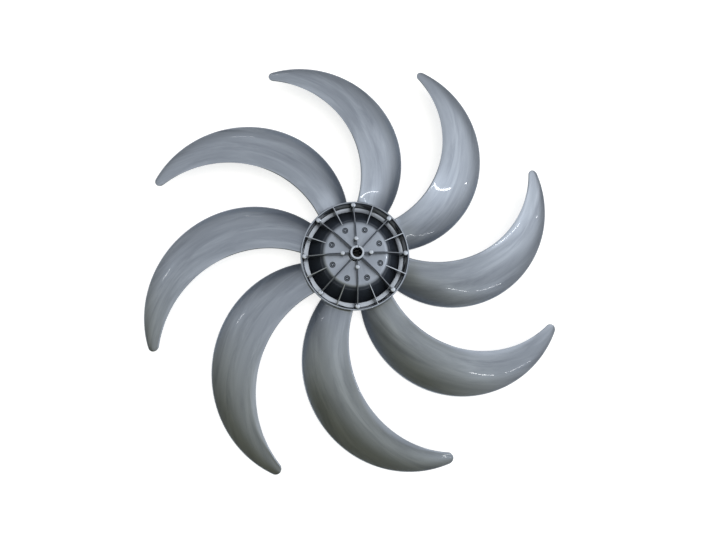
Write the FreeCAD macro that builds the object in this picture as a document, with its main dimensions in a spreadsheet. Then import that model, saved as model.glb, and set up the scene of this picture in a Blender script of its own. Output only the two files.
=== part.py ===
import FreeCAD, Part
import math
import os
import re
import Sketcher

# A moulded fan blade in one piece. It lies front down on its hub ring, with the ribbed rear up the Z axis
# and one of the main ribs along X. All sizes are in millimetres and degrees.

SIZES = {
    # Hub shell: an outer wall, a ring groove and a cone that rises to a flat platform
    "rim_radius": 47.0,
    "rim_level": 18.4,
    "rim_wall": 1.7,
    "wall_draft": 0.5,
    "shell_wall": 2.2,
    "front_chamfer": 2.0,
    "groove_width": 4.2,
    "cone_width": 11.6,
    "platform_rise": 6.6,
    "platform_fillet": 4.0,
    # Shaft boss, its height measured from the platform
    "bore_radius": 4.05,
    "boss_wall": 1.75,
    "boss_height": 14.5,
    "notch_width": 2.4,
    "notch_depth": 2.3,
    # Ribs, with heights measured from the platform and a knee near its edge
    "rib_wall": 1.1,
    "rib_height": 12.0,
    "knee_inset": 7.0,
    "knee_height": 9.2,
    # Ejector pads and marks
    "rim_pad_radius": 2.1,
    "rim_pad_inset": 3.6,
    "boss_pad_radius": 1.9,
    "boss_pad_offset": 6.0,
    "boss_pad_height": 11.6,
    "mark_inset": 7.2,
    "mark_radius": 2.4,
    "mark_core_radius": 1.0,
    "mark_depth": 0.6,
    # Blade outline: two long arcs from the hub, which meet at a rounded tip
    "blade_count": 8,
    "tip_reach": 184.7,
    "tip_angle": 28.4,
    "tip_radius": 4.9,
    "trail_sweep": 68.7,
    "trail_bulge": 73.6,
    "lead_sweep": 32.5,
    "lead_bulge": 40.8,
    # Blade sheet: a domed shell that thins to the tip, pitched along the line from root to tip
    "sheet_radius": 300.0,
    "sheet_pitch": 6.6,
    "root_level": 11.3,
    "tip_level": 17.0,
    "root_wall": 2.4,
    "tip_wall": 1.7,
}

SHEET_HALF_ANGLE = 45

# The hub's inner sizes follow from its outer wall
WALL_MIDDLE = "(rim_radius - rim_wall / 2)"
WALL_FOOT = "(rim_radius - rim_wall - wall_draft)"
GROOVE_RADIUS = f"({WALL_FOOT} - groove_width)"
PLATFORM_RADIUS = f"({GROOVE_RADIUS} - cone_width)"
PLATFORM_LEVEL = "(rim_level + platform_rise)"
BOSS_RADIUS = "(bore_radius + boss_wall)"
BOSS_LEVEL = f"({PLATFORM_LEVEL} + boss_height)"
SHELL_MIDDLE = f"({PLATFORM_LEVEL} - shell_wall / 2)"

# The cone keeps the shell's thickness, measured square to its slope
CONE_DROP = f"({PLATFORM_LEVEL} - shell_wall)"
CONE_SLOPE = f"(cone_width / {CONE_DROP})"
CONE_SHIFT = f"(shell_wall * ({CONE_SLOPE} - sqrt(1 + {CONE_SLOPE}^2)))"
RECESS_LEVEL = CONE_DROP
RECESS_RADIUS = f"({PLATFORM_RADIUS} + {CONE_SHIFT})"
MOUTH_RADIUS = f"({GROOVE_RADIUS} + {CONE_SHIFT})"

HALF_STEP = "(180 / blade_count)"


def root_point(sweep):
    """Where an edge of the blade starts, in the middle of the hub's wall."""
    return f"({WALL_MIDDLE} * cos(tip_angle - {sweep}))", f"({WALL_MIDDLE} * sin(tip_angle - {sweep}))"


TIP_X = "(tip_reach * cos(tip_angle))"
TIP_Y = "(tip_reach * sin(tip_angle))"
TRAIL_ROOT_X, TRAIL_ROOT_Y = root_point("trail_sweep")
LEAD_ROOT_X, LEAD_ROOT_Y = root_point("lead_sweep")


def edge_arc(root_x, root_y, bulge):
    """Centre and radius of the arc from a root to the tip that stands off its chord by the bulge."""
    chord = f"sqrt(({TIP_X} - {root_x})^2 + ({TIP_Y} - {root_y})^2)"
    lean = f"(({bulge}^2 - {chord}^2 / 4) / (2 * {bulge} * {chord}))"
    centre_x = f"(({TIP_X} + {root_x}) / 2 + {lean} * ({TIP_Y} - {root_y}))"
    centre_y = f"(({TIP_Y} + {root_y}) / 2 - {lean} * ({TIP_X} - {root_x}))"
    return centre_x, centre_y, f"({bulge} / 2 + {chord}^2 / (8 * {bulge}))"


TRAIL_X, TRAIL_Y, TRAIL_RADIUS = edge_arc(TRAIL_ROOT_X, TRAIL_ROOT_Y, "trail_bulge")
LEAD_X, LEAD_Y, LEAD_RADIUS = edge_arc(LEAD_ROOT_X, LEAD_ROOT_Y, "lead_bulge")

# The sheet's sphere passes through the middle of the root and the tip at their levels
ROOT_X = f"(({TRAIL_ROOT_X} + {LEAD_ROOT_X}) / 2)"
ROOT_Y = f"(({TRAIL_ROOT_Y} + {LEAD_ROOT_Y}) / 2)"
SPAN = f"sqrt(({TIP_X} - {ROOT_X})^2 + ({TIP_Y} - {ROOT_Y})^2)"
SPAN_TURN = f"atan2({TIP_Y} - {ROOT_Y}; {TIP_X} - {ROOT_X})"
RISE = "(tip_level - root_level)"
SLANT = f"sqrt({SPAN}^2 + {RISE}^2)"
DEPTH = f"sqrt((sheet_radius * cos(sheet_pitch))^2 - {SLANT}^2 / 4)"
CENTRE_ALONG = f"({SPAN} / 2 + {RISE} * {DEPTH} / {SLANT})"
CENTRE_ASIDE = "(sheet_radius * sin(sheet_pitch))"
CENTRE_LEVEL = f"((root_level + tip_level) / 2 - {SPAN} * {DEPTH} / {SLANT})"
CENTRE_X = f"({ROOT_X} + {CENTRE_ALONG} * cos({SPAN_TURN}) - {CENTRE_ASIDE} * sin({SPAN_TURN}))"
CENTRE_Y = f"({ROOT_Y} + {CENTRE_ALONG} * sin({SPAN_TURN}) + {CENTRE_ASIDE} * cos({SPAN_TURN}))"

# The sphere of its front side is shifted along the span, which thins the sheet from root to tip
FRONT_SHIFT = f"((root_wall - tip_wall) * sheet_radius / {SPAN})"
FRONT_RADIUS = f"(sheet_radius - root_wall + {FRONT_SHIFT} * {CENTRE_ALONG} / sheet_radius)"

UPRIGHT = FreeCAD.Vector(0, 0, 1)
SKETCH_UPRIGHT = FreeCAD.Vector(0, 1, 0)

doc = FreeCAD.newDocument("FanBlade")
sheet = doc.addObject("Spreadsheet::Sheet", "Sizes")
for row, (alias, value) in enumerate(SIZES.items(), start=1):
    sheet.set(f"A{row}", alias)
    sheet.set(f"B{row}", str(value))
    sheet.setAlias(f"B{row}", alias)
doc.recompute()


def tied(formula):
    """A formula of size names as an expression on the sheet's cells."""
    return re.sub(r"[a-z]+(?:_[a-z]+)+", lambda name: "Sizes." + name.group(), formula)


def number(formula):
    return float(sheet.evalExpression(tied(formula)))


def new_body(label):
    body = doc.addObject("PartDesign::Body", label)
    body.Label = label
    return body


def origin_feature(body, role):
    return next(item for item in body.Origin.OriginFeatures if item.Role == role)


def new_sketch(body, name, plane, base=None, turn=None):
    """A sketch on one of the body's origin planes, moved and turned about the upright by formulas."""
    sketch = body.newObject("Sketcher::SketchObject", name)
    sketch.AttachmentSupport = [(origin_feature(body, plane), "")]
    sketch.MapMode = "FlatFace"
    if turn:
        rotation = FreeCAD.Rotation(SKETCH_UPRIGHT, number(turn))
        sketch.AttachmentOffset = FreeCAD.Placement(FreeCAD.Vector(), rotation)
        sketch.setExpression("AttachmentOffset.Rotation.Angle", tied(turn))
    for axis, formula in (base or {}).items():
        sketch.setExpression("AttachmentOffset.Base." + axis, tied(formula))
    return sketch


def dimension(sketch, kind, *where, formula):
    """Adds a dimension to a sketch and ties it to a formula of sizes."""
    index = sketch.addConstraint(Sketcher.Constraint(kind, *where, number(formula)))
    sketch.setExpression(f"Constraints[{index}]", tied(formula))


def pin(sketch, curve, end, across, up):
    """Holds a point of a curve at a place given by two formulas."""
    dimension(sketch, "DistanceX", -1, 1, curve, end, formula=across)
    if up == "0":
        sketch.addConstraint(Sketcher.Constraint("PointOnObject", curve, end, -1))
    else:
        dimension(sketch, "DistanceY", -1, 1, curve, end, formula=up)


def point(across, up):
    return FreeCAD.Vector(number(across), number(up), 0)


def polygon(sketch, corners):
    """A closed outline of straight sides through corners given by formulas."""
    points = [point(across, up) for across, up in corners]
    count = len(points)
    for side in range(count):
        sketch.addGeometry(Part.LineSegment(points[side], points[(side + 1) % count]), False)
    for side in range(count):
        sketch.addConstraint(Sketcher.Constraint("Coincident", side, 2, (side + 1) % count, 1))
    for side, (across, up) in enumerate(corners):
        pin(sketch, side, 1, across, up)
    return sketch


def circle(sketch, across, up, radius):
    curve = sketch.addGeometry(Part.Circle(point(across, up), UPRIGHT, number(radius)), False)
    pin(sketch, curve, 3, across, up)
    dimension(sketch, "Radius", curve, formula=radius)


def pad(body, name, sketch, length, midplane=False):
    feature = body.newObject("PartDesign::Pad", name)
    feature.Profile = sketch
    feature.setExpression("Length", tied(length))
    feature.Midplane = midplane
    doc.recompute()
    return feature


def pocket(body, name, sketch, depth=None):
    """Cuts down from a sketch, or right through both ways, and makes sure that something was cut."""
    before = body.Shape.Volume
    feature = body.newObject("PartDesign::Pocket", name)
    feature.Profile = sketch
    if depth:
        feature.setExpression("Length", tied(depth))
    else:
        feature.Type = "ThroughAll"
        feature.Midplane = True
    doc.recompute()
    if feature.Shape.Volume >= before:
        raise RuntimeError(name + " cuts nothing")
    return feature


def polar(body, name, original=None, every=1):
    """Copies of a feature, or of the whole body, round the hub at each blade or at every second one."""
    feature = body.newObject("PartDesign::PolarPattern", name)
    if original:
        feature.Originals = [original]
    else:
        feature.TransformMode = "Whole shape"
    feature.Axis = (origin_feature(body, "Z_Axis"), [""])
    feature.Mode = "Spacing"
    feature.setExpression("Offset", tied(f"{every} * 360 / blade_count"))
    feature.setExpression("Occurrences", tied(f"floor(blade_count / {every})"))
    body.Tip = feature
    doc.recompute()


def make_hub(body):
    """The turned shell: boss, platform, cone, groove and outer wall, with the recess on its front."""
    section = polygon(new_sketch(body, "HubSection", "XZ_Plane"), [
        ("bore_radius", RECESS_LEVEL),
        ("bore_radius", BOSS_LEVEL),
        (BOSS_RADIUS, BOSS_LEVEL),
        (BOSS_RADIUS, PLATFORM_LEVEL),
        (PLATFORM_RADIUS, PLATFORM_LEVEL),
        (GROOVE_RADIUS, "shell_wall"),
        (WALL_FOOT, "shell_wall"),
        ("rim_radius - rim_wall", "rim_level"),
        ("rim_radius", "rim_level"),
        ("rim_radius", "front_chamfer"),
        ("rim_radius - front_chamfer", "0"),
        (MOUTH_RADIUS, "0"),
        (RECESS_RADIUS, RECESS_LEVEL),
    ])
    shell = body.newObject("PartDesign::Revolution", "HubShell")
    shell.Profile = section
    shell.ReferenceAxis = (section, ["V_Axis"])
    shell.Angle = 360
    doc.recompute()
    radius = number(PLATFORM_RADIUS)
    level = number(PLATFORM_LEVEL)
    edge = next(
        f"Edge{index}" for index, edge in enumerate(shell.Shape.Edges, start=1)
        if isinstance(edge.Curve, Part.Circle)
        and math.isclose(edge.Curve.Radius, radius) and math.isclose(edge.Curve.Center.z, level)
    )
    soft = body.newObject("PartDesign::Fillet", "PlatformFillet")
    soft.Base = (shell, [edge])
    soft.setExpression("Radius", tied("platform_fillet"))
    body.Tip = soft
    doc.recompute()


def make_ribs(body):
    """Upright webs: long ones from the boss to the rim, short ones across the groove between them."""
    foot = [
        (WALL_MIDDLE, "rim_level"),
        (WALL_MIDDLE, "shell_wall / 2"),
        (f"{GROOVE_RADIUS} - shell_wall / 2", "shell_wall / 2"),
        (f"{PLATFORM_RADIUS} - shell_wall / 2", SHELL_MIDDLE),
    ]
    boss_middle = "bore_radius + boss_wall / 2"
    main = polygon(new_sketch(body, "MainRibSection", "XZ_Plane"), foot + [
        (boss_middle, SHELL_MIDDLE),
        (boss_middle, f"{PLATFORM_LEVEL} + rib_height"),
        (f"{PLATFORM_RADIUS} - knee_inset", f"{PLATFORM_LEVEL} + knee_height"),
    ])
    polar(body, "MainRibs", pad(body, "MainRib", main, "rib_wall", midplane=True))
    short_end = f"{PLATFORM_RADIUS} - platform_fillet / 2"
    short = polygon(new_sketch(body, "ShortRibSection", "XZ_Plane", turn=HALF_STEP), foot + [
        (short_end, SHELL_MIDDLE),
        (short_end, PLATFORM_LEVEL),
    ])
    polar(body, "ShortRibs", pad(body, "ShortRib", short, "rib_wall", midplane=True))


def make_pads(body):
    """Round ejector pads, on every main rib at the rim and on every second one beside the boss."""
    plan = new_sketch(body, "RimPadPlan", "XY_Plane", {"z": "shell_wall / 2"})
    circle(plan, "rim_radius - rim_pad_inset", "0", "rim_pad_radius")
    polar(body, "RimPads", pad(body, "RimPad", plan, "rim_level - shell_wall / 2"))
    plan = new_sketch(body, "BossPadPlan", "XY_Plane", {"z": SHELL_MIDDLE})
    circle(plan, f"{BOSS_RADIUS} + boss_pad_offset", "0", "boss_pad_radius")
    polar(body, "BossPads", pad(body, "BossPad", plan, "boss_pad_height + shell_wall / 2"), every=2)


def make_cuts(body):
    """Ring-shaped ejector marks on the platform, and the drive notch in the end of the boss."""
    plan = new_sketch(body, "MarkPlan", "XY_Plane", {"z": PLATFORM_LEVEL})
    across = f"({PLATFORM_RADIUS} - mark_inset) * cos({HALF_STEP})"
    up = f"({PLATFORM_RADIUS} - mark_inset) * sin({HALF_STEP})"
    circle(plan, across, up, "mark_radius")
    circle(plan, across, up, "mark_core_radius")
    polar(body, "Marks", pocket(body, "Mark", plan, "mark_depth"))
    plan = new_sketch(body, "NotchPlan", "XY_Plane", {"z": BOSS_LEVEL})
    pocket(body, "Notch", polygon(plan, [
        ("-notch_width / 2", "0"),
        ("notch_width / 2", "0"),
        ("notch_width / 2", f"{BOSS_RADIUS} + boss_wall"),
        ("-notch_width / 2", f"{BOSS_RADIUS} + boss_wall"),
    ]), "notch_depth")


def sheet_section(body):
    """A thick arc along the span of the blade, its rear side about the sketch's own middle."""
    base = {"x": CENTRE_X, "y": CENTRE_LEVEL, "z": f"-{CENTRE_Y}"}
    sketch = new_sketch(body, "SheetSection", "XZ_Plane", base, SPAN_TURN)
    half_width = f"(sheet_radius * sin({SHEET_HALF_ANGLE}))"
    ends = [half_width, f"-{half_width}"]
    centres = [FreeCAD.Vector(), FreeCAD.Vector(number(FRONT_SHIFT), 0, 0)]
    radii = ["sheet_radius", FRONT_RADIUS]
    arcs = []
    for centre, radius in zip(centres, radii):
        turns = [math.acos((number(end) - centre.x) / number(radius)) for end in ends]
        arcs.append(Part.ArcOfCircle(Part.Circle(centre, UPRIGHT, number(radius)), *turns))
    sides = [
        Part.LineSegment(arcs[0].StartPoint, arcs[1].StartPoint),
        Part.LineSegment(arcs[0].EndPoint, arcs[1].EndPoint),
    ]
    sketch.addGeometry(arcs + sides, False)
    for end, side in ((1, 2), (2, 3)):
        sketch.addConstraint(Sketcher.Constraint("Coincident", 0, end, side, 1))
        sketch.addConstraint(Sketcher.Constraint("Coincident", 1, end, side, 2))
        sketch.addConstraint(Sketcher.Constraint("Vertical", side))
        dimension(sketch, "DistanceX", -1, 1, 0, end, formula=ends[end - 1])
    sketch.addConstraint(Sketcher.Constraint("Coincident", 0, 3, -1, 1))
    pin(sketch, 1, 3, FRONT_SHIFT, "0")
    for arc, radius in enumerate(radii):
        dimension(sketch, "Radius", arc, formula=radius)
    return sketch


def bearing(start, end):
    return math.atan2(end.y - start.y, end.x - start.x)


def tip_centre(trail, lead):
    """The middle of the tip's small arc, inside the trailing edge's circle and outside the leading one's."""
    near = number(f"{TRAIL_RADIUS} - tip_radius")
    far = number(f"{LEAD_RADIUS} + tip_radius")
    axis = lead - trail
    along = (near ** 2 - far ** 2 + axis.Length ** 2) / (2 * axis.Length)
    off = math.sqrt(near ** 2 - along ** 2)
    axis.normalize()
    return trail + axis * along + FreeCAD.Vector(axis.y, -axis.x, 0) * off


def blade_plan(body):
    """All that lies outside one blade: its two long arcs, its tip and the hub's wall within a wide circle."""
    sketch = new_sketch(body, "BladePlan", "XY_Plane")
    hub = FreeCAD.Vector()
    trail = point(TRAIL_X, TRAIL_Y)
    lead = point(LEAD_X, LEAD_Y)
    tip = tip_centre(trail, lead)
    trail_root = point(TRAIL_ROOT_X, TRAIL_ROOT_Y)
    lead_root = point(LEAD_ROOT_X, LEAD_ROOT_Y)
    arcs = [
        (trail, TRAIL_RADIUS, bearing(trail, trail_root), bearing(trail, tip)),
        (tip, "tip_radius", bearing(trail, tip), bearing(tip, lead)),
        (lead, LEAD_RADIUS, bearing(lead, lead_root), bearing(lead, tip)),
        (hub, WALL_MIDDLE, bearing(hub, trail_root), bearing(hub, lead_root)),
    ]
    for centre, radius, start, end in arcs:
        sketch.addGeometry(Part.ArcOfCircle(Part.Circle(centre, UPRIGHT, number(radius)), start, end), False)
    sketch.addConstraint(Sketcher.Constraint("Coincident", 3, 1, 0, 1))
    sketch.addConstraint(Sketcher.Constraint("Coincident", 3, 2, 2, 1))
    sketch.addConstraint(Sketcher.Constraint("Coincident", 3, 3, -1, 1))
    sketch.addConstraint(Sketcher.Constraint("Tangent", 0, 2, 1, 1))
    sketch.addConstraint(Sketcher.Constraint("Tangent", 2, 2, 1, 2))
    pin(sketch, 0, 3, TRAIL_X, TRAIL_Y)
    pin(sketch, 2, 3, LEAD_X, LEAD_Y)
    for index, (centre, radius, start, end) in enumerate(arcs):
        dimension(sketch, "Radius", index, formula=radius)
    wide = "tip_reach + 2 * sheet_radius"
    outside = sketch.addGeometry(Part.Circle(hub, UPRIGHT, number(wide)), False)
    sketch.addConstraint(Sketcher.Constraint("Coincident", outside, 3, -1, 1))
    dimension(sketch, "Radius", outside, formula=wide)
    return sketch


def make_blades(body):
    """One blade, a domed sheet cut to its plan, and its copies round the hub."""
    section = sheet_section(body)
    dome = body.newObject("PartDesign::Revolution", "BladeSheet")
    dome.Profile = section
    dome.ReferenceAxis = (section, ["H_Axis"])
    dome.Angle = 2 * SHEET_HALF_ANGLE
    dome.Midplane = True
    doc.recompute()
    pocket(body, "BladeTrim", blade_plan(body))
    body.AllowCompound = True
    polar(body, "BladeRing")


blades = new_body("Blades")
make_blades(blades)

fan = new_body("fan_blade")
make_hub(fan)
make_ribs(fan)
make_pads(fan)
make_cuts(fan)
joined = fan.newObject("PartDesign::Boolean", "HubAndBlades")
joined.setObjects([blades])
joined.Type = "Fuse"
fan.Tip = joined
doc.recompute()

for item in doc.Objects:
    if "Invalid" in item.State or "Error" in item.State:
        raise RuntimeError(item.Label + " could not be made")
if fan.Shape.isNull() or not fan.Shape.isValid() or len(fan.Shape.Solids) != 1:
    raise RuntimeError("the fan blade is not one sound solid")

os.makedirs("parts", exist_ok=True)
fan.Shape.exportStep("parts/fan_blade.step")
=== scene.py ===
import math

import bpy
from mathutils import Euler, Matrix, Vector


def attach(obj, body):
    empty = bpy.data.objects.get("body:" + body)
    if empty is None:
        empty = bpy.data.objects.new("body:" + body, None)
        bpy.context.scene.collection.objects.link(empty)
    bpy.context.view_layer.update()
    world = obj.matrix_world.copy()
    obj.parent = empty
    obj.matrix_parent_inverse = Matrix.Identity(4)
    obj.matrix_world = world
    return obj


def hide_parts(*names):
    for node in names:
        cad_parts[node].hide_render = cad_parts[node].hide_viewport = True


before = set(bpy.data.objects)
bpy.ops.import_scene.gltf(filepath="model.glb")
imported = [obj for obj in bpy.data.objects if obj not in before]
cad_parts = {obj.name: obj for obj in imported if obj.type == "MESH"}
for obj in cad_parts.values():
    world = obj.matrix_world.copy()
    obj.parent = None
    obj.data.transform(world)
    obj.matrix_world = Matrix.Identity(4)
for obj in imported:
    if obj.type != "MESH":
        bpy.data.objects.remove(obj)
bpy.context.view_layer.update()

MM = 0.001
TURN = 2 * math.pi

# Hub sizes in millimetres. The shoulder, ribs, pads and marks differ a little from the solid's.
RIM_RADIUS = 47.0
RIM_LEVEL = 18.4
RIM_WALL = 1.7
RIM_FILLET = 0.7
WALL_MIDDLE = RIM_RADIUS - RIM_WALL / 2
WALL_FOOT = 44.8
GROOVE_RADIUS = 40.6
GROOVE_LEVEL = 2.2
GROOVE_FILLET = 0.5
PLATFORM_RADIUS = 29.0
PLATFORM_LEVEL = 25.0
PLATFORM_FILLET = 7.0
SHELL_WALL = 2.2
RECESS_LEVEL = PLATFORM_LEVEL - SHELL_WALL
RECESS_RADIUS = 27.65
MOUTH_RADIUS = 39.25
FRONT_CHAMFER = 2.0
BORE_RADIUS = 4.05
BOSS_RADIUS = 5.8
BOSS_LEVEL = 39.5
NOTCH_WIDTH = 2.4
NOTCH_DEPTH = 2.3
RIB_TOP = 0.8
RIB_EDGE = 0.15
RIB_EDGE_STEPS = 4
RIB_BAND = 0.1  # below the rounded edge, where the painted light and shade of the top ends
RIB_FOOT = 1.8
RIB_COUNT = 8
RIB_STEP = TURN / RIB_COUNT
RIB_START = 4.9
RIB_BEND = 22.0
SHORT_RIB_START = 27.0
# Radius and level of the ribs' tops, and of their feet inside the shell.
LONG_RIB = ((RIB_START, 37.0), (RIB_BEND, 34.2), (WALL_MIDDLE, RIM_LEVEL))
SHORT_RIB = ((SHORT_RIB_START, PLATFORM_LEVEL), (WALL_MIDDLE, RIM_LEVEL))
RIB_FEET = ((RIB_START, 24.0), (SHORT_RIB_START, 23.6), (28.2, 22.9), (39.9, 1.6), (WALL_MIDDLE, 1.2))
MARK_PLACE = 21.8
MARK_RADIUS = 2.4
MARK_CORE = 1.0
MARK_DEPTH = 0.8
MARK_INNER_EASE = 0.5
MARK_OUTER_EASE = 0.2
MARK_MARGIN = 0.4
RIM_PAD_PLACE = 43.4
RIM_PAD_RADIUS = 2.1
RIM_PAD_SPAN = (1.2, 20.8)  # levels of foot and top
BOSS_PAD_COUNT = 4
BOSS_PAD_PLACE = 11.8
BOSS_PAD_RADIUS = 1.9
BOSS_PAD_SPAN = (24.0, 36.6)
PAD_DOME = 0.5
PAD_DOME_LEAN = math.radians(84)
PAD_DOME_STEPS = 7
PAD_SIDES = 32
HUB_SEGMENTS = (10, 30, 10)  # from a rib to a mark, across the mark and on to the next rib
HUB_RUN = 6.0
PLATFORM_RUNS = (6.0, 0.2, 2.0)
HUB_FLOW = 6.0
LEVEL_TOLERANCE = 0.01

# Blade sizes in millimetres and degrees.
BLADE_COUNT = 8
TIP_REACH = 184.7
TIP_ANGLE = 28.4
TIP_RADIUS = 4.9
TRAIL_SWEEP = 68.7
TRAIL_BULGE = 73.6
LEAD_SWEEP = 32.5
LEAD_BULGE = 40.8
SHEET_RADIUS = 300.0
SHEET_PITCH = 6.6
ROOT_LEVEL = 11.3
TIP_LEVEL = 17.0
ROOT_WALL = 2.4
TIP_WALL = 1.7
ROOT_FILLET = 1.3
RIM_STEP = 0.6  # the roots end this far below the rim
FLOOR_GAP = 0.3
CAMBER = 2.6
CAMBER_PEAK = 0.62  # part of the width
CAMBER_RUN = 0.08  # part of the length
FULL_CAMBER_WIDTH = 40.0
ROOT_DROOP = 2.0
DROOP_START = 0.35  # part of the width
DROOP_RUN = 0.35  # part of the length
BLADE_LENGTH = 215.0
ROOT_OFFSETS = (0, 0.8, 1.0, 1.2, 1.5, 1.9, 2.4, 3.2)
BLADE_ROWS = 84
ACROSS_BLADE = 24
ROUND_EDGE = 6
SHARP_ANGLE = 40
FLOW_GAP = 200.0  # keeps the streaks of the blades apart

# How much painted light lies on a surface: above nought it is drawn paler, below nought darker, as
# painted shade.
# Painted light on the groove's floor, with a painted shadow by the ribs.
GROOVE_PAINTED_LIGHT = 0.7
GROOVE_PAINTED_LIGHT_RUN = (1.5, 3.5)  # distances from a rib over which the painted light sets in, leaving a painted shadow by each rib
GROOVE_TOLERANCE = 0.05
# Painted light on the boss's end.
BOSS_PAINTED_LIGHT = 0.5
BOSS_END = 0.3
# Painted highlight on the pads' domed ends.
PAD_PAINTED_HIGHLIGHT = 0.6
# Painted highlight on the rib tops over the cone, painted shade on them over the platform.
SLOPING_RIB_PAINTED_HIGHLIGHT = 0.55
LEVEL_RIB_PAINTED_SHADE = -0.8
# Painted shade on the blades' roots, darkest at the trailing side.
ROOT_PAINTED_SHADE = -0.1
TRAILING_ROOT_PAINTED_SHADE = -0.6
TRAILING_START = 0.4  # part of the width
ROOT_PAINTED_SHADE_RUN = 0.4  # part of the length

# Looks of the plastic and the floor.
STREAK_DARK = (0.195, 0.228, 0.28, 1)
STREAK_LIGHT = (0.335, 0.382, 0.45, 1)
# Colour of the painted light.
PAINTED_LIGHT = (0.56, 0.62, 0.70, 1)
# Colour of the painted shade, and where it lies on the hub's steep walls.
PAINTED_SHADE = (0.045, 0.056, 0.076, 1)
WALL_LIMIT = RIM_RADIUS - 0.5
LEVEL_FADE = (0.995, 0.84)  # upward part of the normal
FRONT_FADE = (-0.10, -0.02)
FLOOR_SIZE = 12
FLOOR_GLOW = 0.62


def polar(radius, angle):
    return Vector((radius * math.cos(angle), radius * math.sin(angle)))


def angle_of(vector):
    return math.atan2(vector.y, vector.x)


class Mould:
    """Gathers the points, faces, flow coordinates and painted light and shade of the one moulding."""

    def __init__(self):
        self.points = []
        self.flow = []
        self.painted_light_and_shade = []
        self.faces = []

    def add(self, point, flow, painted_light_and_shade=0.0):
        self.points.append(tuple(MM * value for value in point))
        self.flow.append(flow)
        self.painted_light_and_shade.append(painted_light_and_shade)
        return len(self.points) - 1

    def bridge(self, first, second):
        """Joins two closed loops of the same length by four-sided faces."""
        count = len(first)
        for i in range(count):
            j = (i + 1) % count
            self.faces.append((first[i], first[j], second[j], second[i]))


def rounded(corners):
    """Rounds the corners (r, z, fillet) of a closed outline and returns its points."""
    outline = []
    count = len(corners)
    for i, (r, z, fillet) in enumerate(corners):
        here = Vector((r, z))
        before = Vector(corners[i - 1][:2]) - here
        after = Vector(corners[(i + 1) % count][:2]) - here
        if fillet <= 0:
            outline.append(here)
            continue
        before.normalize()
        after.normalize()
        half = before.angle(after) / 2
        middle = here + (before + after).normalized() * (fillet / math.sin(half))
        start = here + before * (fillet / math.tan(half)) - middle
        end = here + after * (fillet / math.tan(half)) - middle
        steps = 3 + round(fillet)
        for k in range(steps + 1):
            part = k / steps
            outline.append(middle + (start * (1 - part) + end * part).normalized() * fillet)
    return outline


def subdivided(outline, longest):
    """Adds points to the long runs of a closed outline."""
    result = []
    for i, here in enumerate(outline):
        there = outline[(i + 1) % len(outline)]
        pieces = max(1, math.ceil((there - here).length / longest))
        result.extend(here.lerp(there, k / pieces) for k in range(pieces))
    return result


def smooth_step(low, high, value):
    part = min(1.0, max(0.0, (value - low) / (high - low)))
    return part * part * (3 - 2 * part)


def mark_sink(x, y):
    """Depth of the ring-shaped ejector marks in the platform."""
    angle = math.atan2(y, x)
    near = (math.floor(angle / RIB_STEP) + 0.5) * RIB_STEP
    distance = (Vector((x, y)) - polar(MARK_PLACE, near)).length
    trough = (MARK_CORE + MARK_RADIUS) / 2
    ring = smooth_step(MARK_CORE - MARK_INNER_EASE, trough, distance)
    return MARK_DEPTH * ring * (1 - smooth_step(trough, MARK_RADIUS + MARK_OUTER_EASE, distance))


def hub_angles():
    """Angles of the hub's segments, closer together across the ejector marks."""
    fine = math.asin((MARK_RADIUS + MARK_MARGIN) / MARK_PLACE)
    stops = (0, RIB_STEP / 2 - fine, RIB_STEP / 2 + fine, RIB_STEP)
    angles = []
    for rib in range(RIB_COUNT):
        for low, high, count in zip(stops, stops[1:], HUB_SEGMENTS):
            angles += [rib * RIB_STEP + low + (high - low) * k / count for k in range(count)]
    return angles


def hub_painted_light(spot, angle):
    """Painted light on the boss's end and on the groove's floor, left off by the ribs as a painted
    shadow.
    """
    if abs(spot.y - GROOVE_LEVEL) < GROOVE_TOLERANCE and spot.x > GROOVE_RADIUS - GROOVE_FILLET:
        rib = round(angle / RIB_STEP) * RIB_STEP
        return GROOVE_PAINTED_LIGHT * smooth_step(*GROOVE_PAINTED_LIGHT_RUN, spot.x * abs(angle - rib))
    return BOSS_PAINTED_LIGHT if spot.y > BOSS_LEVEL - BOSS_END else 0.0


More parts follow.
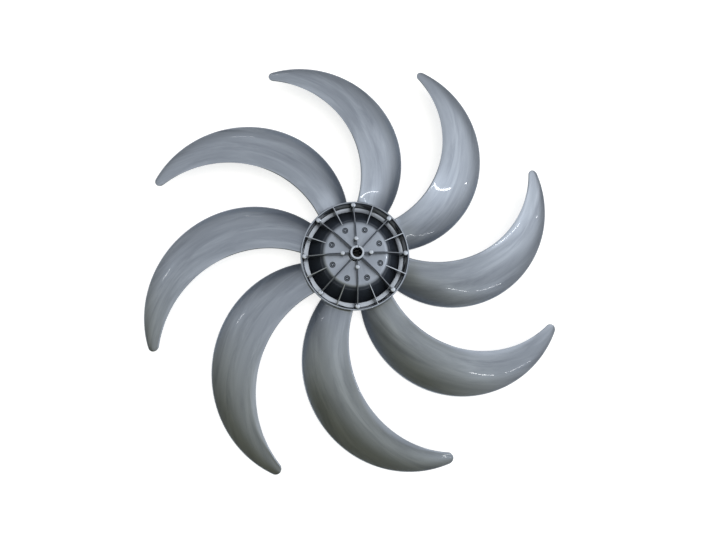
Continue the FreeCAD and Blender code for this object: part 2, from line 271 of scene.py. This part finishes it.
def build_hub(mould):
    """The hub's turned shell: bore, boss, platform, cone, groove, rim and front recess."""
    corners = (  # radius, level and fillet
        (BORE_RADIUS, RECESS_LEVEL, 0.3),
        (BORE_RADIUS, BOSS_LEVEL, 0.25),
        (BOSS_RADIUS, BOSS_LEVEL, 0.35),
        (BOSS_RADIUS, PLATFORM_LEVEL, 0.8),
        (PLATFORM_RADIUS, PLATFORM_LEVEL, PLATFORM_FILLET),
        (GROOVE_RADIUS, GROOVE_LEVEL, GROOVE_FILLET),
        (WALL_FOOT, GROOVE_LEVEL, GROOVE_FILLET),
        (RIM_RADIUS - RIM_WALL, RIM_LEVEL, RIM_FILLET),
        (RIM_RADIUS, RIM_LEVEL, RIM_FILLET),
        (RIM_RADIUS, FRONT_CHAMFER, 1.0),
        (RIM_RADIUS - FRONT_CHAMFER, 0, 1.0),
        (MOUTH_RADIUS, 0, 0.6),
        (RECESS_RADIUS, RECESS_LEVEL, 1.2),
    )
    outline = subdivided(rounded(corners), HUB_RUN)
    platform = [p for p in outline if abs(p.y - PLATFORM_LEVEL) < LEVEL_TOLERANCE]
    inner = min(p.x for p in platform)
    outer = max(p.x for p in platform)
    first = next(i for i, p in enumerate(outline) if p is platform[0])
    mark_start = MARK_PLACE - MARK_RADIUS - MARK_MARGIN
    mark_end = MARK_PLACE + MARK_RADIUS + MARK_MARGIN
    stops = (inner, mark_start, mark_end, outer)
    fine = []
    for low, high, step in zip(stops, stops[1:], PLATFORM_RUNS):
        rows = math.ceil((high - low) / step)
        fine += [Vector((low + (high - low) * k / rows, PLATFORM_LEVEL)) for k in range(rows)]
    fine.append(Vector((outer, PLATFORM_LEVEL)))
    outline = outline[:first] + fine + outline[first + len(platform):]
    angles = hub_angles()
    loops = []
    run = 0.0
    for k, spot in enumerate(outline):
        run += (spot - outline[k - 1]).length if k else 0.0
        loop = []
        for angle in angles:
            x, y = polar(spot.x, angle)
            z = spot.y
            if abs(z - PLATFORM_LEVEL) < LEVEL_TOLERANCE and spot.x > BOSS_RADIUS:
                z -= mark_sink(x, y)
            if z > BOSS_LEVEL - NOTCH_DEPTH and y > 0 and abs(x) < NOTCH_WIDTH / 2:
                z = BOSS_LEVEL - NOTCH_DEPTH
            loop.append(mould.add((x, y, z), (run, HUB_FLOW * angle), hub_painted_light(spot, angle)))
        loops.append(loop)
    for k, loop in enumerate(loops):
        mould.bridge(loop, loops[k - 1])


def level_on(line, radius):
    """Level at a radius of a line that goes outward through (radius, level) points."""
    for (r0, z0), (r1, z1) in zip(line, line[1:]):
        if radius <= r1:
            break
    return z0 + (z1 - z0) * (radius - r0) / (r1 - r0)


def build_rib(mould, tops, angle):
    """A radial web whose foot stays inside the shell; its long top edges are rounded."""
    out = polar(1, angle)
    aside = Vector((-out.y, out.x))
    half = RIB_TOP / 2
    section = []
    for k in range(RIB_EDGE_STEPS + 1):
        lean = math.pi / 2 * k / RIB_EDGE_STEPS
        section.append((half - RIB_EDGE * (1 - math.cos(lean)), RIB_EDGE * (math.sin(lean) - 1)))
    section += [(-across, drop) for across, drop in reversed(section)]
    loops = []
    for r in sorted({r for r, _ in tops + RIB_FEET if r >= tops[0][0]}):
        top, foot = level_on(tops, r), level_on(RIB_FEET, r)
        # Painted highlight on the sloping tops, painted shade on the level ones.
        painted_light_and_shade = SLOPING_RIB_PAINTED_HIGHLIGHT if r > RIB_BEND else LEVEL_RIB_PAINTED_SHADE
        loop = []
        for across, drop in section:
            spot = out * r + aside * across
            loop.append(mould.add((*spot, top + drop), (r, across), painted_light_and_shade))
        below = top - RIB_EDGE - RIB_BAND
        flanks = ((-half, below), (-RIB_FOOT / 2, foot), (RIB_FOOT / 2, foot), (half, below))
        for across, z in flanks:
            spot = out * r + aside * across
            loop.append(mould.add((*spot, z), (r, across + z)))
        loops.append(loop)
    for first, second in zip(loops, loops[1:]):
        mould.bridge(first, second)
    mould.faces.append(tuple(reversed(loops[0])))
    mould.faces.append(tuple(loops[-1]))


def build_pad(mould, centre, radius, span):
    """A round pin with a domed end."""
    foot, top = span
    rows = [(radius, foot)]
    for k in range(PAD_DOME_STEPS + 1):
        lean = PAD_DOME_LEAN * k / PAD_DOME_STEPS
        rows.append((radius * math.cos(lean), top - PAD_DOME + PAD_DOME * math.sin(lean)))
    loops = []
    for r, z in rows:
        # Painted highlight on the domed end.
        painted_light_and_shade = PAD_PAINTED_HIGHLIGHT if r < radius else 0.0
        loop = []
        for i in range(PAD_SIDES):
            spot = centre + polar(r, TURN * i / PAD_SIDES)
            loop.append(mould.add((*spot, z), (spot.x, spot.y), painted_light_and_shade))
        loops.append(loop)
    for first, second in zip(loops, loops[1:]):
        mould.bridge(first, second)
    mould.faces.append(tuple(reversed(loops[0])))
    mould.faces.append(tuple(loops[-1]))


def edge_arc(sweep, bulge, tip):
    """Centre and radius of a blade edge, an arc that bulges to the trailing side."""
    root = polar(WALL_MIDDLE, math.radians(TIP_ANGLE - sweep))
    chord = tip - root
    length = chord.length
    lean = (bulge ** 2 - length ** 2 / 4) / (2 * bulge * length)
    centre = (root + tip) / 2 + lean * Vector((chord.y, -chord.x))
    return root, centre, bulge / 2 + length ** 2 / (8 * bulge)


def circle_reach(origin, angle, centre, radius, side):
    """Distance from the origin along a ray to a circle, near (-1) or far (+1) side."""
    ray = polar(1, angle)
    gap = centre - origin
    along = gap.dot(ray)
    return along + side * math.sqrt(max(0.0, radius ** 2 - gap.length_squared + along ** 2))


class BladePlan:
    """Outline and side surfaces of the blade whose tip lies at TIP_ANGLE."""

    def __init__(self):
        tip = polar(TIP_REACH, math.radians(TIP_ANGLE))
        trail_root, self.trail, self.trail_radius = edge_arc(TRAIL_SWEEP, TRAIL_BULGE, tip)
        lead_root, self.lead, self.lead_radius = edge_arc(LEAD_SWEEP, LEAD_BULGE, tip)
        self.spine = (self.trail + self.lead) / 2
        self.tip = self.tip_centre()
        gap = self.tip - self.spine
        self.trail_turn = angle_of((self.tip - self.trail).normalized() * TIP_RADIUS + gap)
        self.lead_turn = angle_of((self.lead - self.tip).normalized() * TIP_RADIUS + gap)
        self.last_turn = angle_of(gap) + math.asin(TIP_RADIUS / gap.length)
        self.set_sheet((trail_root + lead_root) / 2, tip)

    def tip_centre(self):
        """The tip's round touches the trailing arc from inside and the leading arc from outside."""
        first = self.trail_radius - TIP_RADIUS
        second = self.lead_radius + TIP_RADIUS
        gap = self.lead - self.trail
        along = (first ** 2 - second ** 2 + gap.length_squared) / (2 * gap.length)
        off = math.sqrt(first ** 2 - along ** 2)
        way = gap.normalized()
        return self.trail + way * along + Vector((way.y, -way.x)) * off

    def set_sheet(self, root, tip):
        """The two spheres that make the rear and the front side."""
        span = tip - root
        length = span.length
        way = span / length
        rise = TIP_LEVEL - ROOT_LEVEL
        slant = math.hypot(length, rise)
        pitch = math.radians(SHEET_PITCH)
        depth = math.sqrt((SHEET_RADIUS * math.cos(pitch)) ** 2 - slant ** 2 / 4)
        along = length / 2 + rise * depth / slant
        aside = SHEET_RADIUS * math.sin(pitch)
        spot = root + way * along + Vector((-way.y, way.x)) * aside
        self.rear = Vector((*spot, (ROOT_LEVEL + TIP_LEVEL) / 2 - length * depth / slant))
        shift = (ROOT_WALL - TIP_WALL) * SHEET_RADIUS / length
        self.front = Vector((*(spot + way * shift), self.rear.z))
        self.front_radius = SHEET_RADIUS - ROOT_WALL + shift * along / SHEET_RADIUS

    def limits(self, turn):
        """Distances from the spine's centre to the leading and trailing edge."""
        lead = circle_reach(self.spine, turn, self.lead, self.lead_radius, 1)
        trail = circle_reach(self.spine, turn, self.trail, self.trail_radius, 1)
        if turn > self.lead_turn:
            lead = circle_reach(self.spine, turn, self.tip, TIP_RADIUS, -1)
        if turn > self.trail_turn:
            trail = circle_reach(self.spine, turn, self.tip, TIP_RADIUS, 1)
        return lead, max(lead, trail)

    def spot(self, turn, part):
        lead, trail = self.limits(turn)
        return self.spine + polar(lead + (trail - lead) * part, turn)

    def first_turn(self, part):
        """Where the line at this part of the width leaves the middle of the hub's wall."""
        low = math.radians(-170)
        high = math.radians(-20)
        for _ in range(40):
            middle = (low + high) / 2
            if self.spot(middle, part).length < WALL_MIDDLE:
                low = middle
            else:
                high = middle
        return (low + high) / 2

    def levels(self, spot):
        """Levels of the front and rear side over a spot of the plan."""
        front = (spot - self.front.xy).length_squared
        rear = (spot - self.rear.xy).length_squared
        return (self.front.z + math.sqrt(self.front_radius ** 2 - front),
                self.rear.z + math.sqrt(SHEET_RADIUS ** 2 - rear))


def blade_section():
    """Parts of a blade's cross-section: (part of the width, edge lean, side)."""
    across, bend = ACROSS_BLADE, ROUND_EDGE
    section = [(k / across, None, 1) for k in range(across + 1)]
    section += [(1.0, math.pi / 2 - math.pi * k / bend, 0) for k in range(1, bend)]
    section += [(1 - k / across, None, -1) for k in range(across + 1)]
    section += [(0.0, -math.pi / 2 - math.pi * k / bend, 0) for k in range(1, bend)]
    return section


def blade_rows():
    """Parts of a blade's length, close together at the root's fillet and at the tip."""
    rows = [offset / BLADE_LENGTH for offset in ROOT_OFFSETS]
    start = rows[-1]
    for k in range(1, BLADE_ROWS):
        part = 1 - (1 - k / BLADE_ROWS) ** 2
        rows.append(start + (1 - start) * part)
    return rows


def blade_loops(plan):
    """Points, flow coordinates and painted shade of one blade, row by row from root to tip."""
    section = blade_section()
    starts = [plan.first_turn(part) for part, _, _ in section]
    loops = []
    for row in blade_rows():
        loop = []
        for (part, lean, side), start in zip(section, starts):
            turn = start + (plan.last_turn - start) * row
            lead, trail = plan.limits(turn)
            width = trail - lead
            front, rear = plan.levels(plan.spine + polar(lead + width * part, turn))
            half = min((rear - front) / 2, width / 2)
            if lean is None:
                distance = half + (width - 2 * half) * part
                height = side * half
            else:
                distance = width * part + half * (math.cos(lean) - (1 if part else -1))
                height = half * math.sin(lean)
            spot = plan.spine + polar(lead + distance, turn)
            front, rear = plan.levels(spot)
            middle = (front + rear) / 2
            swell = part ** (CAMBER_PEAK / (1 - CAMBER_PEAK)) * (1 - part)
            swell *= smooth_step(0, CAMBER_RUN, row) * min(1.0, width / FULL_CAMBER_WIDTH)
            middle += CAMBER * 4 * swell
            droop = max(0.0, (part - DROOP_START) / (1 - DROOP_START)) ** 2
            middle -= ROOT_DROOP * droop * (1 - smooth_step(0, DROOP_RUN, row))
            near = min(1.0, max(0.0, 1 - (spot.length - RIM_RADIUS) / ROOT_FILLET))
            flare = ROOT_FILLET * (1 - math.sqrt(1 - near ** 2))
            height += math.copysign(flare, height) if side else 0
            z = min(RIM_LEVEL - RIM_STEP, max(FLOOR_GAP, middle + height))
            # Painted shade near the root, darkest at the trailing side.
            painted_light_and_shade = ROOT_PAINTED_SHADE + TRAILING_ROOT_PAINTED_SHADE * smooth_step(TRAILING_START, 1.0, part)
            painted_light_and_shade *= 1 - smooth_step(0, ROOT_PAINTED_SHADE_RUN, row)
            loop.append(((*spot, z), (BLADE_LENGTH * row, distance), painted_light_and_shade))
        loops.append(loop)
    return loops


def build_blades(mould):
    plan = BladePlan()
    loops = blade_loops(plan)
    for blade in range(BLADE_COUNT):
        turn = TURN * blade / BLADE_COUNT
        cos, sin = math.cos(turn), math.sin(turn)
        rings = []
        for loop in loops:
            ring = []
            for (x, y, z), (along, across), painted_light_and_shade in loop:
                place = (x * cos - y * sin, x * sin + y * cos, z)
                ring.append(mould.add(place, (along, across + FLOW_GAP * (blade + 1)), painted_light_and_shade))
            rings.append(ring)
        for first, second in zip(rings, rings[1:]):
            mould.bridge(first, second)
        mould.faces.append(tuple(reversed(rings[0])))
        mould.faces.append(tuple(rings[-1]))


def build_moulding():
    mould = Mould()
    build_hub(mould)
    for k in range(RIB_COUNT):
        build_rib(mould, LONG_RIB, k * RIB_STEP)
        build_rib(mould, SHORT_RIB, (k + 0.5) * RIB_STEP)
        build_pad(mould, polar(RIM_PAD_PLACE, k * RIB_STEP), RIM_PAD_RADIUS, RIM_PAD_SPAN)
    for k in range(BOSS_PAD_COUNT):
        place = polar(BOSS_PAD_PLACE, k * TURN / BOSS_PAD_COUNT)
        build_pad(mould, place, BOSS_PAD_RADIUS, BOSS_PAD_SPAN)
    build_blades(mould)
    mesh = bpy.data.meshes.new("fan_blade_moulding")
    mesh.from_pydata(mould.points, [], mould.faces)
    layer = mesh.uv_layers.new(name="flow")
    for loop in mesh.loops:
        layer.data[loop.index].uv = mould.flow[loop.vertex_index]
    painted_light_and_shade = mesh.attributes.new("painted_light_and_shade", "FLOAT", "POINT")
    painted_light_and_shade.data.foreach_set("value", mould.painted_light_and_shade)
    mesh.shade_smooth()
    mesh.set_sharp_from_angle(angle=math.radians(SHARP_ANGLE))
    moulding = bpy.data.objects.new("fan_blade_moulding", mesh)
    bpy.context.scene.collection.objects.link(moulding)
    return moulding


def link(tree, source, target):
    tree.links.new(source, target)


def within_hub(tree, radius):
    """One inside the given radius round the shaft axis, nought outside it."""
    nodes = tree.nodes
    place = nodes.new("ShaderNodeTexCoord")
    flat = nodes.new("ShaderNodeVectorMath")
    flat.operation = "MULTIPLY"
    flat.inputs[1].default_value = (1, 1, 0)
    link(tree, place.outputs["Object"], flat.inputs[0])
    distance = nodes.new("ShaderNodeVectorMath")
    distance.operation = "LENGTH"
    link(tree, flat.outputs["Vector"], distance.inputs[0])
    inside = nodes.new("ShaderNodeMath")
    inside.operation = "LESS_THAN"
    inside.inputs[1].default_value = radius * MM
    link(tree, distance.outputs["Value"], inside.inputs[0])
    return inside.outputs["Value"]


def painted_wall_shade(tree, painted_light_and_shade):
    """How much painted shade a surface gets: one on the hub's steep rear walls, more where the
    painted value is below nought, less under painted light.
    """
    nodes = tree.nodes
    surface = nodes.new("ShaderNodeNewGeometry")
    split = nodes.new("ShaderNodeSeparateXYZ")
    link(tree, surface.outputs["Normal"], split.inputs["Vector"])
    inside = within_hub(tree, WALL_LIMIT)
    for low, high in (LEVEL_FADE, FRONT_FADE):
        steep = nodes.new("ShaderNodeMapRange")
        steep.interpolation_type = "SMOOTHSTEP"
        steep.inputs["From Min"].default_value = low
        steep.inputs["From Max"].default_value = high
        link(tree, split.outputs["Z"], steep.inputs["Value"])
        share = nodes.new("ShaderNodeMath")
        share.operation = "MULTIPLY"
        link(tree, steep.outputs["Result"], share.inputs[0])
        link(tree, inside, share.inputs[1])
        inside = share.outputs["Value"]
    share = nodes.new("ShaderNodeMath")
    share.operation = "SUBTRACT"
    share.use_clamp = True
    link(tree, inside, share.inputs[0])
    link(tree, painted_light_and_shade, share.inputs[1])
    return share.outputs["Value"]


def patchy(tree, place, streaks):
    """Streaks that are strong in some patches of the blades and faint in others."""
    nodes = tree.nodes
    patches = nodes.new("ShaderNodeTexNoise")
    patches.inputs["Scale"].default_value = 0.7
    patches.inputs["Detail"].default_value = 1.0
    link(tree, place, patches.inputs["Vector"])
    strength = nodes.new("ShaderNodeMapRange")
    strength.inputs["From Min"].default_value = 0.35
    strength.inputs["From Max"].default_value = 0.65
    strength.inputs["To Min"].default_value = 0.4
    strength.inputs["To Max"].default_value = 1.5
    link(tree, patches.outputs["Fac"], strength.inputs["Value"])
    centred = nodes.new("ShaderNodeMath")
    centred.operation = "SUBTRACT"
    centred.inputs[1].default_value = 0.5
    link(tree, streaks, centred.inputs[0])
    scaled = nodes.new("ShaderNodeMath")
    scaled.operation = "MULTIPLY_ADD"
    scaled.inputs[2].default_value = 0.5
    link(tree, centred.outputs["Value"], scaled.inputs[0])
    link(tree, strength.outputs["Result"], scaled.inputs[1])
    return scaled.outputs["Value"]


def silver_plastic():
    """Grey pearl plastic with faint flow streaks along the blades, and painted light and shade."""
    material = bpy.data.materials.new("silver_plastic")
    material.use_nodes = True
    tree = material.node_tree
    nodes = tree.nodes
    shader = nodes["Principled BSDF"]
    shader.inputs["Roughness"].default_value = 0.29
    shader.inputs["Specular Tint"].default_value = (0.35, 0.37, 0.4, 1)
    shader.inputs["Coat Roughness"].default_value = 0.04
    shader.inputs["Coat IOR"].default_value = 1.7

    flow = nodes.new("ShaderNodeUVMap")
    flow.uv_map = "flow"
    stretch = nodes.new("ShaderNodeMapping")
    stretch.inputs["Scale"].default_value = (0.014, 0.13, 1.0)
    link(tree, flow.outputs["UV"], stretch.inputs["Vector"])
    streaks = nodes.new("ShaderNodeTexNoise")
    streaks.inputs["Scale"].default_value = 1.0
    streaks.inputs["Detail"].default_value = 5.0
    streaks.inputs["Roughness"].default_value = 0.62
    streaks.inputs["Distortion"].default_value = 0.5
    link(tree, stretch.outputs["Vector"], streaks.inputs["Vector"])
    tint = nodes.new("ShaderNodeValToRGB")
    tint.color_ramp.elements[0].position = 0.3
    tint.color_ramp.elements[0].color = STREAK_DARK
    tint.color_ramp.elements[1].position = 0.7
    tint.color_ramp.elements[1].color = STREAK_LIGHT
    link(tree, patchy(tree, stretch.outputs["Vector"], streaks.outputs["Fac"]), tint.inputs["Fac"])

    # Painted light: surfaces are drawn paler toward the painted light colour where the attribute is
    # above nought.
    painted_light_and_shade = nodes.new("ShaderNodeAttribute")
    painted_light_and_shade.attribute_name = "painted_light_and_shade"
    lighter = nodes.new("ShaderNodeMix")
    lighter.data_type = "RGBA"
    lighter.inputs["B"].default_value = PAINTED_LIGHT
    link(tree, painted_light_and_shade.outputs["Fac"], lighter.inputs["Factor"])
    link(tree, tint.outputs["Color"], lighter.inputs["A"])

    # Painted shade: the hub's steep inner walls are drawn nearly black, and so are the level rib tops
    # and the blades' trailing roots.
    painted_shade = painted_wall_shade(tree, painted_light_and_shade.outputs["Fac"])
    shade = nodes.new("ShaderNodeMix")
    shade.data_type = "RGBA"
    shade.inputs["B"].default_value = PAINTED_SHADE
    link(tree, painted_shade, shade.inputs["Factor"])
    link(tree, lighter.outputs["Result"], shade.inputs["A"])
    link(tree, shade.outputs["Result"], shader.inputs["Base Color"])
    for socket, level, wall in (("Coat Weight", 0.8, 0.12), ("Metallic", 0.92, 0.1)):
        share = nodes.new("ShaderNodeMapRange")
        share.inputs["To Min"].default_value = level
        share.inputs["To Max"].default_value = wall
        link(tree, painted_shade, share.inputs["Value"])
        link(tree, share.outputs["Result"], shader.inputs[socket])

    place = nodes.new("ShaderNodeTexCoord")
    grain = nodes.new("ShaderNodeTexNoise")
    grain.inputs["Scale"].default_value = 2600.0
    grain.inputs["Detail"].default_value = 2.0
    link(tree, place.outputs["Object"], grain.inputs["Vector"])
    bump = nodes.new("ShaderNodeBump")
    bump.inputs["Strength"].default_value = 0.05
    bump.inputs["Distance"].default_value = 0.0001
    link(tree, grain.outputs["Fac"], bump.inputs["Height"])
    link(tree, bump.outputs["Normal"], shader.inputs["Normal"])
    return material


def pale_floor():
    """A plain floor that keeps the soft shadow. It glows only where seen, and not under the hub,
    where a painted shadow is left.
    """
    bpy.ops.mesh.primitive_plane_add(size=FLOOR_SIZE)
    floor = bpy.context.object
    floor.name = "floor"
    material = bpy.data.materials.new("floor")
    material.use_nodes = True
    tree = material.node_tree
    nodes = tree.nodes
    shader = nodes["Principled BSDF"]
    shader.inputs["Base Color"].default_value = (0.8, 0.8, 0.8, 1)
    shader.inputs["Roughness"].default_value = 0.9
    shader.inputs["Specular IOR Level"].default_value = 0.0
    shader.inputs["Emission Color"].default_value = (1, 1, 1, 1)
    seen = nodes.new("ShaderNodeLightPath")
    direct = nodes.new("ShaderNodeMath")
    link(tree, seen.outputs["Is Camera Ray"], direct.inputs[0])
    link(tree, seen.outputs["Is Glossy Ray"], direct.inputs[1])
    either = nodes.new("ShaderNodeMath")
    link(tree, direct.outputs["Value"], either.inputs[0])
    link(tree, seen.outputs["Is Transmission Ray"], either.inputs[1])
    glow = nodes.new("ShaderNodeMath")
    glow.operation = "MULTIPLY"
    glow.inputs[1].default_value = FLOOR_GLOW
    link(tree, either.outputs["Value"], glow.inputs[0])
    # No glow within the hub's mouth: a painted shadow under the hub.
    glow_beside_painted_shadow = nodes.new("ShaderNodeMath")
    glow_beside_painted_shadow.operation = "SUBTRACT"
    glow_beside_painted_shadow.use_clamp = True
    link(tree, glow.outputs["Value"], glow_beside_painted_shadow.inputs[0])
    link(tree, within_hub(tree, MOUTH_RADIUS), glow_beside_painted_shadow.inputs[1])
    link(tree, glow_beside_painted_shadow.outputs["Value"], shader.inputs["Emission Strength"])
    floor.data.materials.append(material)


def tube_lamp(name, start, end, width, brightness):
    """A long lamp between two places that faces the fan."""
    length = (end - start).length
    data = bpy.data.lights.new(name, "AREA")
    data.shape = "RECTANGLE"
    data.size, data.size_y = length, width
    data.energy = brightness * length * width
    item = bpy.data.objects.new(name, data)
    place = (start + end) / 2
    along = (end - start).normalized()
    back = place.normalized()
    aside = back.cross(along).normalized()
    item.matrix_world = Matrix((along, aside, along.cross(aside))).transposed().to_4x4()
    item.location = place
    bpy.context.scene.collection.objects.link(item)


def sky_ramp(tree, axis, shades):
    """Shades of the sky by the cosine of the angle to an axis."""
    nodes = tree.nodes
    sky = nodes.new("ShaderNodeTexCoord")
    toward = nodes.new("ShaderNodeVectorMath")
    toward.operation = "DOT_PRODUCT"
    toward.inputs[1].default_value = Vector(axis).normalized()
    link(tree, sky.outputs["Generated"], toward.inputs[0])
    ramp = nodes.new("ShaderNodeValToRGB")
    steps = ramp.color_ramp.elements
    steps.remove(steps[0])
    steps[0].position, steps[0].color = shades[0][0], (*shades[0][1], 1)
    for place, shade in shades[1:]:
        steps.new(place).color = (*shade, 1)
    link(tree, toward.outputs["Value"], ramp.inputs["Fac"])
    return ramp.outputs["Color"]


def mixed(tree, kind, first, second):
    """Two colours multiplied or added."""
    mix = tree.nodes.new("ShaderNodeMix")
    mix.data_type = "RGBA"
    mix.blend_type = kind
    mix.inputs["Factor"].default_value = 1.0
    link(tree, first, mix.inputs["A"])
    link(tree, second, mix.inputs["B"])
    return mix.outputs["Result"]


def studio():
    """A soft dome with a dim side and a bright patch on the other, and thin tubes at one height."""
    world = bpy.data.worlds.new("studio")
    world.use_nodes = True
    tree = world.node_tree
    nodes = tree.nodes
    background = nodes["Background"]
    dome = sky_ramp(tree, (0, 0, 1), (
        (0.00, (0.12, 0.12, 0.12)),
        (0.15, (0.42, 0.42, 0.42)),
        (0.30, (0.55, 0.55, 0.55)),
        (0.50, (0.75, 0.75, 0.75)),
        (0.86, (0.83, 0.83, 0.83)),
        (0.97, (1.08, 1.08, 1.08)),
    ))
    dim_side = sky_ramp(tree, (-0.61, -0.78, 0.12), (
        (0.20, (1.0, 1.0, 1.0)),
        (0.50, (0.76, 0.745, 0.65)),
        (0.80, (0.235, 0.22, 0.13)),
    ))
    patch = sky_ramp(tree, (0.68, 0.12, 0.72), (
        (0.86, (0.0, 0.0, 0.0)),
        (1.00, (0.73, 0.73, 0.73)),
    ))
    shaded = mixed(tree, "MULTIPLY", dome, dim_side)
    link(tree, mixed(tree, "ADD", shaded, patch), background.inputs["Color"])
    background.inputs["Strength"].default_value = 1.0
    bpy.context.scene.world = world
    height, brightness = 1.5, 60.0
    tubes = (  # both ends in plan, and the width
        ((0.74, 0.09), (1.28, 0.03), 0.020),
        ((2.4, -0.02), (2.7, -0.02), 0.020),
        ((0.48, -1.15), (0.95, -1.53), 0.014),
        ((1.2, -1.62), (2.3, -1.95), 0.014),
        ((-2.05, 0.85), (-1.85, 1.05), 0.016),
        ((-0.7, 3.1), (-0.1, 3.1), 0.010),
    )
    for k, (start, end, width) in enumerate(tubes):
        ends = [Vector((*place, height)) for place in (start, end)]
        tube_lamp(f"tube_{k}", *ends, width, brightness)


def camera():
    """The photograph's place above the fan, fitted to points of the hub and the blades."""
    data = bpy.data.cameras.new("camera")
    data.sensor_width = 36
    data.lens = 24.1
    data.shift_x = 0.0006
    data.shift_y = -0.0786
    data.clip_start = 0.01
    item = bpy.data.objects.new("camera", data)
    item.location = (-0.03397, -0.04302, 0.41975)
    item.rotation_euler = Euler([math.radians(value) for value in (10.982, -3.998, -2.402)])
    bpy.context.scene.collection.objects.link(item)
    bpy.context.scene.camera = item


moulding = build_moulding()
moulding.data.materials.append(silver_plastic())
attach(moulding, "root")
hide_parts("fan_blade")
pale_floor()
studio()
camera()
bpy.context.scene.view_settings.view_transform = "Standard"
